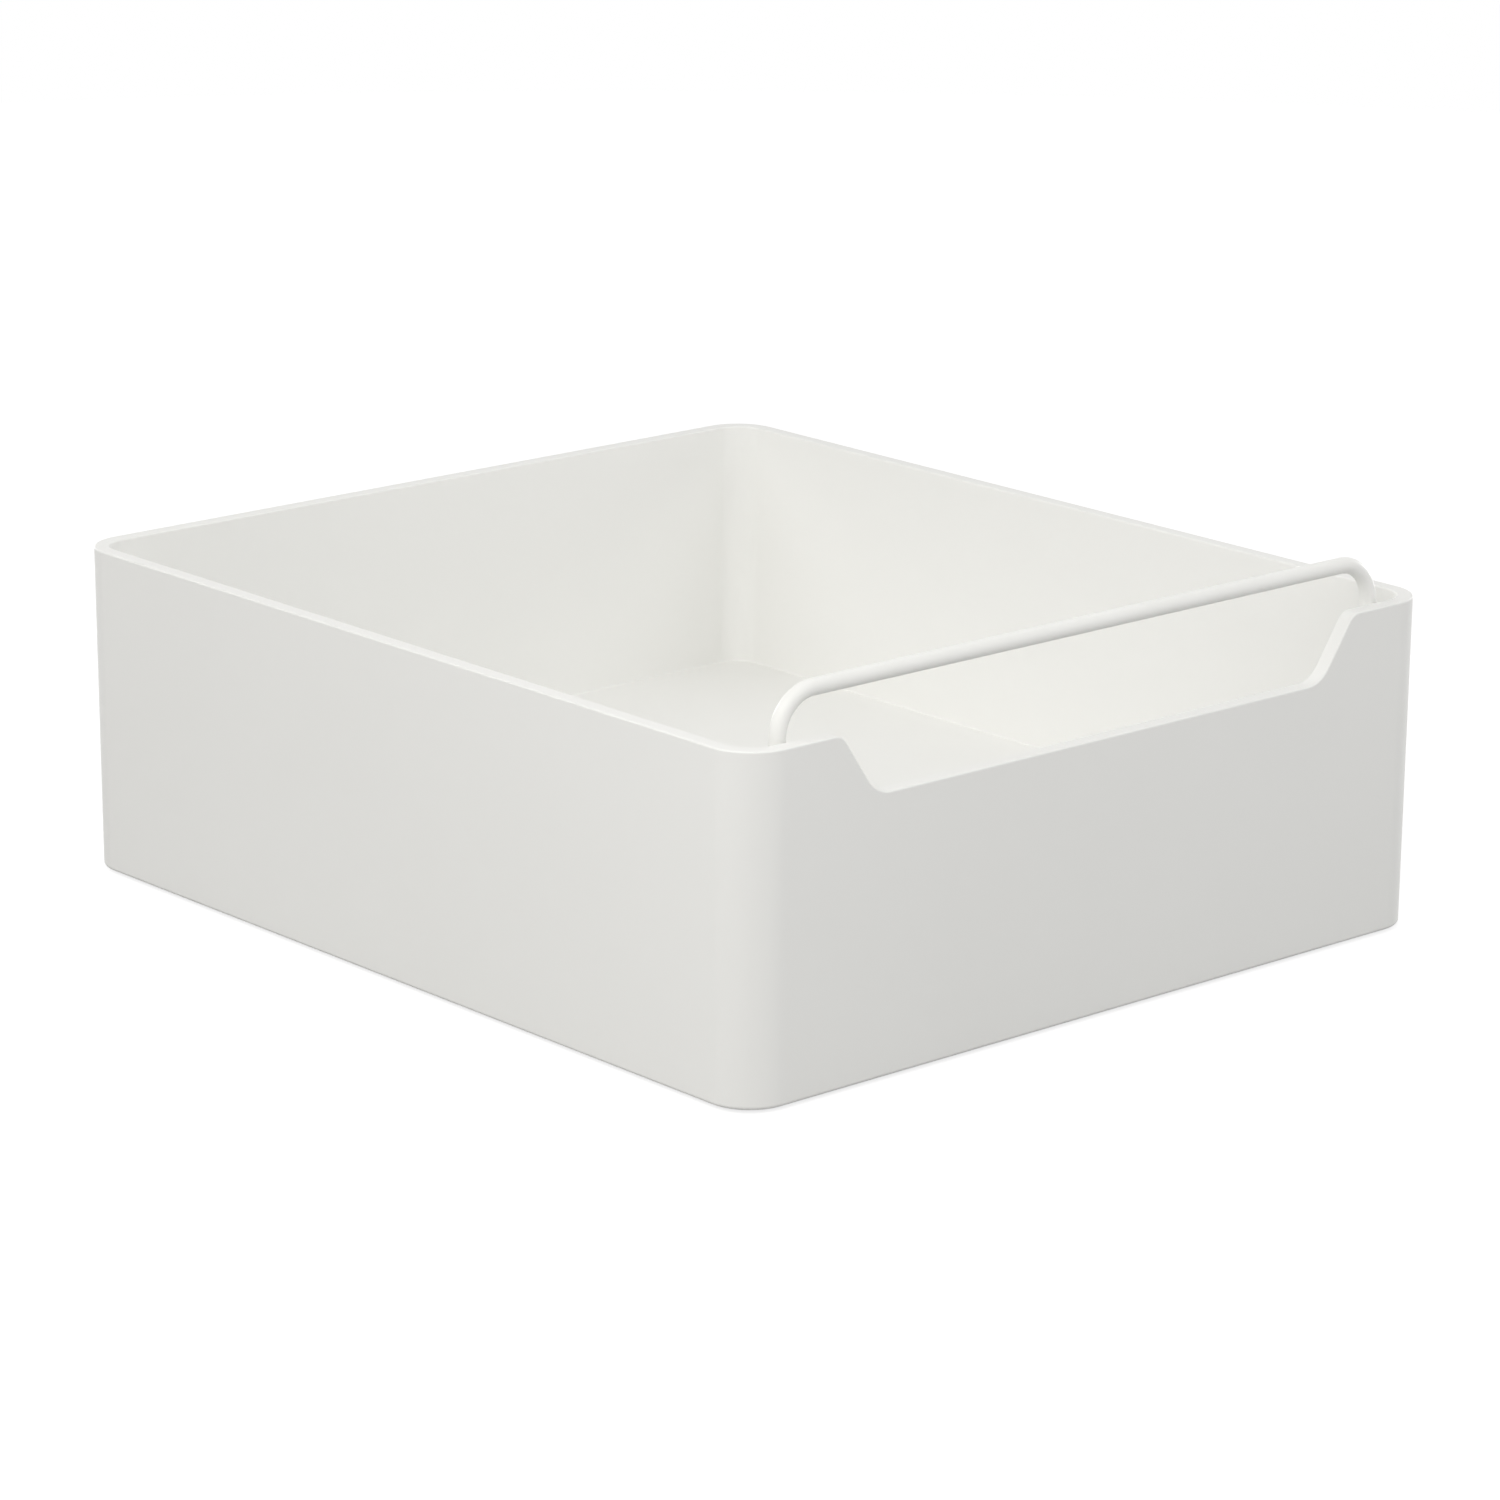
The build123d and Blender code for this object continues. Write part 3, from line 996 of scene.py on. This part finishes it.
@dataclass
class HandleSet:
    """The bent wire handle with the caps on the ends of its legs."""

    wire_radius: float = 2.4 * MM
    wire_faces: int = 28
    bend_radius: float = 12.4 * MM
    bend_steps: int = 18
    end_round: float = 0.5 * MM
    cap_round: float = 0.52 * MM
    brim_round: float = 0.26 * MM

    @classmethod
    def leg_place(cls, side: Side) -> Vector:
        """The middle of one leg in plan."""
        handle = NodeBox.of("wire_handle")
        return Vector((side.value * (handle.high.x - cls.wire_radius), handle.middle.y, 0.0))

    def bent_wire(self) -> BMesh:
        """Draw a ring up one leg, round a bend, along the bar and down the other leg.

        Returns:
            The wire, closed, with rounded ends.
        """
        handle = NodeBox.of("wire_handle")
        left, right = self.leg_place(Side.LEFT), self.leg_place(Side.RIGHT)
        bend_low = handle.high.z - self.wire_radius - self.bend_radius
        rise = Vector((0, 0, bend_low - handle.low.z))
        bm = bmesh.new()
        bmesh.ops.create_circle(bm, cap_ends=True, segments=self.wire_faces, radius=self.wire_radius)
        moved(bm, Vector((left.x, left.y, handle.low.z)))
        edges = push(bm, bm.edges[:], rise)
        centre = Vector((left.x + self.bend_radius, left.y, bend_low))
        edges = turn(bm, edges, centre, TO_REAR, QUARTER_TURN, self.bend_steps)
        edges = push(bm, edges, Vector((right.x - left.x - 2 * self.bend_radius, 0, 0)))
        centre = Vector((right.x - self.bend_radius, right.y, bend_low))
        edges = turn(bm, edges, centre, TO_REAR, QUARTER_TURN, self.bend_steps)
        edges = push(bm, edges, -rise)
        bmesh.ops.edgeloop_fill(bm, edges=edges)
        bmesh.ops.remove_doubles(bm, verts=bm.verts, dist=WELD)
        bmesh.ops.recalc_face_normals(bm, faces=bm.faces)
        tips = [edge for edge in bm.edges if all(vert.co.z < handle.low.z + WELD for vert in edge.verts)]
        round_edges(bm, tips, self.end_round, Arc.FINE)
        return bm

    def cap(self, side: Side) -> BMesh:
        """Turn the cap that is pressed on one leg.

        Args:
            side: The leg's hand.

        Returns:
            A cup with a rounded bottom.
        """
        node = NodeBox.of("leg_cap", side)
        wire_end = NodeBox.of("wire_handle").low.z
        outer = node.size.x / 2
        outline = [
            (0.0, node.low.z), (outer, node.low.z), (outer, node.high.z), (self.wire_radius, node.high.z),
            (self.wire_radius, wire_end), (0.0, wire_end),
        ]
        bm = lathe(outline, facets=Facets.COLUMN)
        round_bands(bm, self.cap_round, 1)
        round_bands(bm, self.brim_round, 2, arc=Arc.FINE)
        return moved(bm, self.leg_place(side))

    def build(self) -> list[Piece]:
        """Make and dress the handle and its caps.

        Returns:
            The pieces.
        """
        tag = Tag("bent_wire_handle", "wire_handle", "handle", "handle_coat")
        cap_tag = Tag("leg_end_cap", "leg_cap", "handle", "cap_plastic")
        made = [finished(self.bent_wire(), tag, HANDLE_COAT)]
        return made + [finished(self.cap(side), cap_tag.on(side), ACETAL) for side in Side]


@dataclass
class GuideBushes:
    """The liners in the tops of the guide columns."""

    wall: float = 1.2 * MM
    run_clearance: float = 0.06 * MM
    flange_thickness: float = 1.5 * MM
    flange_round: float = 0.6 * MM
    lead_in: float = 0.25 * MM

    @classmethod
    def tube_radius(cls) -> float:
        """The outer radius of the tube round a leg."""
        return HandleSet.wire_radius + cls.run_clearance + cls.wall

    def bush(self, side: Side) -> BMesh:
        """Turn one bush.

        Args:
            side: The bush's hand.

        Returns:
            A tube with a flange that has a flat towards the front wall.
        """
        node = NodeBox.of("guide_bush", side)
        bore, tube = HandleSet.wire_radius + self.run_clearance, self.tube_radius()
        flange, under = node.size.x / 2, node.high.z - self.flange_thickness
        outline = [
            (bore, node.low.z), (tube, node.low.z), (tube, under), (flange, under), (flange, node.high.z),
            (bore, node.high.z),
        ]
        bm = moved(lathe(outline, closed=True), HandleSet.leg_place(side))
        round_bands(bm, self.flange_round, 4, arc=Arc.SMALL)
        round_bands(bm, self.lead_in, 5, arc=Arc.FINE)
        return shaved(bm, node.low.y)

    def build(self) -> list[Piece]:
        """The finished bushes."""
        tag = Tag("leg_bush", "guide_bush", "bin", "bush_plastic")
        return [finished(self.bush(side), tag.on(side), ACETAL) for side in Side]


@dataclass
class FrontFeet:
    """The soft pads under the front corners, held by stems in the cap bores."""

    head_height: float = 4.0 * MM
    head_round: float = 0.8 * MM
    stem_radius: float = 4.0 * MM
    stem_round: float = 0.5 * MM

    def foot(self, side: Side) -> BMesh:
        """Turn one foot.

        Args:
            side: The foot's hand.

        Returns:
            A pad with a flat towards the skirt, and its stem.
        """
        node = NodeBox.of("front_foot", side)
        pad = node.size.x / 2
        outline = [
            (0.0, 0.0), (pad, 0.0), (pad, self.head_height), (self.stem_radius, self.head_height),
            (self.stem_radius, node.high.z), (0.0, node.high.z),
        ]
        bm = lathe(outline)
        round_bands(bm, self.head_round, 1)
        round_bands(bm, self.stem_round, 4, arc=Arc.FINE)
        return shaved(moved(bm, HandleSet.leg_place(side)), node.low.y)

    def build(self) -> list[Piece]:
        """The finished feet."""
        tag = Tag("soft_foot", "front_foot", "bin", "foot_rubber")
        return [finished(self.foot(side), tag.on(side), FOOT_RUBBER) for side in Side]


@dataclass
class RollerUnit:
    """One rear roller with its tyre, axle and bracket."""

    side: Side
    tyre_thickness: float = 1.6 * MM
    tyre_round: float = 0.64 * MM
    roller_round: float = 0.4 * MM
    axle_clearance: float = 0.05 * MM
    axle_chamfer: float = 0.4 * MM
    tip_clearance: float = 1.0 * MM
    side_clearance: float = 0.5 * MM
    roof: float = 2.0 * MM
    housing_round: float = 2.0 * MM
    ear_length: float = 10.0 * MM
    ear_width: float = 11.0 * MM
    ear_thickness: float = 2.5 * MM
    screw_clearance: float = 0.2 * MM

    def __post_init__(self) -> None:
        """Take the pieces' boxes from their nodes."""
        self.housing = NodeBox.of("roller_bracket", self.side)
        self.wheel = NodeBox.of("roller", self.side)
        self.ring = NodeBox.of("roller_tyre", self.side)
        self.pin = NodeBox.of("roller_axle", self.side)
        self.ear_top = self.housing.high.z - BinShell.boss_height

    def screw_places(self) -> list[Vector]:
        """The places of the bracket's two screws in plan."""
        ends = (self.housing.low.y + self.ear_length / 2, self.housing.high.y - self.ear_length / 2)
        return [Vector((self.housing.middle.x, y, 0.0)) for y in ends]

    def roller(self) -> BMesh:
        """Turn the roller.

        Returns:
            A wheel with a groove for its tyre and a bore for its axle.
        """
        half, groove = self.wheel.size.x / 2, self.ring.size.x / 2
        lip, bore = self.wheel.size.z / 2, self.pin.size.z / 2 + self.axle_clearance
        core = self.ring.size.z / 2 - self.tyre_thickness
        outline = [
            (bore, -half), (lip, -half), (lip, -groove), (core, -groove), (core, groove), (lip, groove),
            (lip, half), (bore, half),
        ]
        bm = lathe(outline, closed=True)
        round_bands(bm, self.roller_round, 1, 6)
        return laid_across(bm, self.pin.middle)

    def tyre(self) -> BMesh:
        """Turn the tyre.

        Returns:
            A soft ring with rounded shoulders.
        """
        half, outer = self.ring.size.x / 2, self.ring.size.z / 2
        inner = outer - self.tyre_thickness
        outline = [(inner, -half), (outer, -half), (outer, half), (inner, half)]
        bm = lathe(outline, closed=True, facets=Facets.TYRE)
        round_bands(bm, self.tyre_round, 1, 2)
        return laid_across(bm, self.pin.middle)

    def axle(self) -> BMesh:
        """Turn the axle.

        Returns:
            A pin with chamfered ends.
        """
        half = self.pin.size.x / 2
        bm = rod(self.pin.size.z / 2, -half, half)
        round_bands(bm, self.axle_chamfer, 1, 2, arc=Arc.CHAMFER)
        return laid_across(bm, self.pin.middle)

    def ears(self) -> BMesh:
        """Make both ears of the bracket.

        Returns:
            One round-ended plate.
        """
        half = self.ear_width / 2
        low = Vector((self.housing.middle.x - half, self.housing.low.y, self.ear_top - self.ear_thickness))
        high = Vector((self.housing.middle.x + half, self.housing.high.y, self.ear_top))
        return round_cornered(block(low, high), half - WELD, Arc.EAR)

    def bracket(self) -> BMesh:
        """Carve the bracket.

        Returns:
            A housing open at the bottom, with an ear for a screw at each end.
        """
        box, reach = self.housing, Vector((0, self.ear_length, 0))
        stock = round_cornered(block(box.low + reach, box.high - reach), self.housing_round, Arc.WIDE)
        room_x = self.wheel.size.x / 2 + self.side_clearance
        room_y = self.ring.size.z / 2 + self.tip_clearance
        x, y, half = box.middle.x, self.pin.middle.y, box.size.x / 2 + OVERRUN
        low = Vector((x - room_x, y - room_y, box.low.z - OVERRUN))
        high = Vector((x + room_x, y + room_y, box.high.z - self.roof))
        tools = [
            (Carve.JOIN, self.ears()),
            (Carve.CUT, block(low, high)),
            (Carve.CUT, laid_across(rod(self.pin.size.z / 2, -half, half), self.pin.middle)),
        ]
        radius = BracketScrews.radius + self.screw_clearance
        hole_low, hole_high = self.ear_top - self.ear_thickness - OVERRUN, self.ear_top + OVERRUN
        for place in self.screw_places():
            tools.append((Carve.CUT, moved(rod(radius, hole_low, hole_high, Facets.EAR_HOLE), place)))
        return carved(stock, tools)

    def build(self) -> list[Piece]:
        """Make and dress the unit.

        Returns:
            The pieces.
        """
        body = f"{self.side.label}_wheel"
        housing_tag = Tag("roller_housing", "roller_bracket", "bin", "bracket_plastic")
        parts = (
            (self.bracket(), housing_tag, BRACKET_PLASTIC),
            (self.axle(), Tag("axle_pin", "roller_axle", "bin", "axle_steel"), AXLE_STEEL),
            (self.roller(), Tag("grooved_roller", "roller", body, "roller_plastic"), ACETAL),
            (self.tyre(), Tag("soft_tyre", "roller_tyre", body, "tyre_rubber"), TYRE_RUBBER),
        )
        return [finished(bm, tag.on(self.side), finish) for bm, tag, finish in parts]


@dataclass
class BracketScrews:
    """The pan-head screws that hold the brackets, driven upwards."""

    radius: float = 1.4 * MM
    head_radius: float = 2.8 * MM
    head_height: float = 1.8 * MM
    head_round: float = 0.9 * MM
    drive_length: float = 3.2 * MM
    drive_width: float = 0.8 * MM
    drive_depth: float = 1.0 * MM

    @staticmethod
    def places() -> list[Vector]:
        """The places of all four screws in plan."""
        return [place for side in Side for place in RollerUnit(side).screw_places()]

    def screw(self) -> BMesh:
        """Turn one screw and cut its cross drive.

        Returns:
            The screw, at its height on the Z axis.
        """
        node = NodeBox.of("bracket_screws")
        low, seat, tip = node.low.z, node.low.z + self.head_height, node.high.z
        outline = [
            (0.0, low), (self.head_radius, low), (self.head_radius, seat), (self.radius, seat),
            (self.radius, tip), (0.0, tip),
        ]
        bm = lathe(outline, facets=Facets.SCREW)
        round_bands(bm, self.head_round, 1)
        start, end = (low - OVERRUN) * UP, (low + self.drive_depth) * UP
        tools = []
        for across, along in ((self.drive_length, self.drive_width), (self.drive_width, self.drive_length)):
            half = Vector((across / 2, along / 2, 0))
            tools.append((Carve.CUT, block(start - half, end + half)))
        return carved(bm, tools)

    def build(self) -> list[Piece]:
        """Make and dress all four screws.

        Returns:
            The screws as one piece.
        """
        first, *others = self.places()
        bm = moved(self.screw(), first)
        one = [*bm.verts, *bm.edges, *bm.faces]
        for place in others:
            copy = bmesh.ops.duplicate(bm, geom=one)["geom"]
            bmesh.ops.translate(bm, verts=only(BMVert, copy), vec=place - first)
        tag = Tag("pan_head_screws", "bracket_screws", "bin", "screw_steel")
        return [finished(bm, tag, SCREW_STEEL)]


@dataclass(frozen=True)
class SoftBox:
    """A large soft lamp that faces the bin."""

    name: str
    place: Triple
    width: float
    watts: float
    colour: Colour = WHITE

    def hang(self, aim: Vector) -> None:
        """Set the lamp up.

        Args:
            aim: The point that it faces.
        """
        light = bpy.data.lights.new(self.name, "AREA")
        light.shape = "SQUARE"
        light.size = self.width
        light.energy = self.watts
        light.color = self.colour
        lamp = bpy.data.objects.new(self.name, light)
        lamp.location = self.place
        lamp.rotation_euler = (aim - Vector(self.place)).to_track_quat("-Z", "Y").to_euler()
        bpy.context.scene.collection.objects.link(lamp)


@dataclass
class Studio:
    """The pale floor, the surrounding light, the lamps and the camera."""

    floor_radius: float = 1.5
    floor_colour: Colour = (0.45, 0.45, 0.45)
    floor_shade: Colour = (0.34, 0.34, 0.34)
    floor_glow: float = 0.78
    surround_strength: float = 0.44
    lamps: tuple[SoftBox, ...] = (
        SoftBox("left box", (-1.556, 0.0, 1.606), 1.2, 7.2, (1.0, 0.975, 0.92)),
        SoftBox("rear left box", (-1.1, 1.1, 1.606), 1.2, 7.2),
        SoftBox("near left box", (-0.86, -0.7, 0.84), 0.7, 6.5, (1.0, 0.99, 0.97)),
        SoftBox("front right box", (0.778, -1.347, 1.606), 1.2, 6.6),
        SoftBox("near right box", (0.75, -0.75, 0.2), 0.35, 0.85),
        SoftBox("low right box", (2.19, 0.19, 0.2), 0.4, 11.0),
        SoftBox("low rear box", (0.3, 2.17, 0.2), 0.4, 11.0),
    )
    azimuth: float = math.radians(-41.543)
    elevation: float = math.radians(15.991)
    roll: float = math.radians(0.392)
    distance: float = 1.6559
    aim: Triple = (0.002804, 0.0, 0.04459)
    lens: float = 132.78
    sensor: float = 36.0

    def floor_material(self) -> bpy.types.Material:
        """Make the floor white where it is seen, with the bin's shadow, and a pale bounce for the bin.

        Returns:
            The material.
        """
        material = bpy.data.materials.new("pale studio floor")
        bench = NodeBench(material)
        bounce = bench.node("ShaderNodeBsdfDiffuse", Color=(*self.floor_colour, 1.0))
        shade = bench.node("ShaderNodeBsdfDiffuse", Color=(*self.floor_shade, 1.0))
        glow = bench.node("ShaderNodeEmission", Strength=self.floor_glow)
        shown = bench.node("ShaderNodeAddShader", {0: shade.outputs["BSDF"], 1: glow.outputs["Emission"]})
        chosen = bench.by_ray(bounce.outputs["BSDF"], shown.outputs["Shader"])
        bench.node("ShaderNodeOutputMaterial", {"Surface": chosen})
        return material

    def lay_floor(self) -> None:
        """Lay the floor that the bin stands on."""
        bm = bmesh.new()
        bmesh.ops.create_circle(bm, cap_ends=True, segments=Facets.STUDIO_FLOOR, radius=self.floor_radius)
        floor = bare_object(bm, "studio_floor")
        floor.data.materials.append(self.floor_material())

    def surround_light(self) -> None:
        """Light the bin evenly from all round, with white where the surround is seen."""
        world = bpy.data.worlds.new("studio")
        bench = NodeBench(world)
        light = bench.node("ShaderNodeBackground", Color=(*WHITE, 1.0), Strength=self.surround_strength)
        white = bench.node("ShaderNodeBackground", Color=(*WHITE, 1.0))
        chosen = bench.by_ray(light.outputs["Background"], white.outputs["Background"])
        bench.node("ShaderNodeOutputWorld", {"Surface": chosen})
        bpy.context.scene.world = world

    def set_camera(self) -> None:
        """Set the camera up at the photograph's angle."""
        data = bpy.data.cameras.new("camera")
        data.lens = self.lens
        data.sensor_width = self.sensor
        camera = bpy.data.objects.new("camera", data)
        tilt = QUARTER_TURN - self.elevation
        turned = Matrix.Rotation(self.azimuth, 4, "Z") @ Matrix.Rotation(tilt, 4, "X")
        turned @= Matrix.Rotation(self.roll, 4, "Z")
        back = turned.to_3x3() @ (self.distance * UP)
        camera.matrix_world = Matrix.Translation(Vector(self.aim) + back) @ turned
        bpy.context.scene.collection.objects.link(camera)
        bpy.context.scene.camera = camera

    def build(self) -> None:
        """Set the whole studio up."""
        self.lay_floor()
        self.surround_light()
        for lamp in self.lamps:
            lamp.hang(Vector(self.aim))
        self.set_camera()
        bpy.context.scene.view_settings.view_transform = "Standard"


def main() -> None:
    """Build the bin's pieces and the studio."""
    logging.basicConfig(level=logging.INFO, format="%(name)s: %(message)s")
    rollers = [RollerUnit(side) for side in Side]
    for maker in (BinShell(), HandleSet(), GuideBushes(), FrontFeet(), *rollers, BracketScrews()):
        for piece in maker.build():
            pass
    Studio().build()


if __name__ == "__main__":
    main()
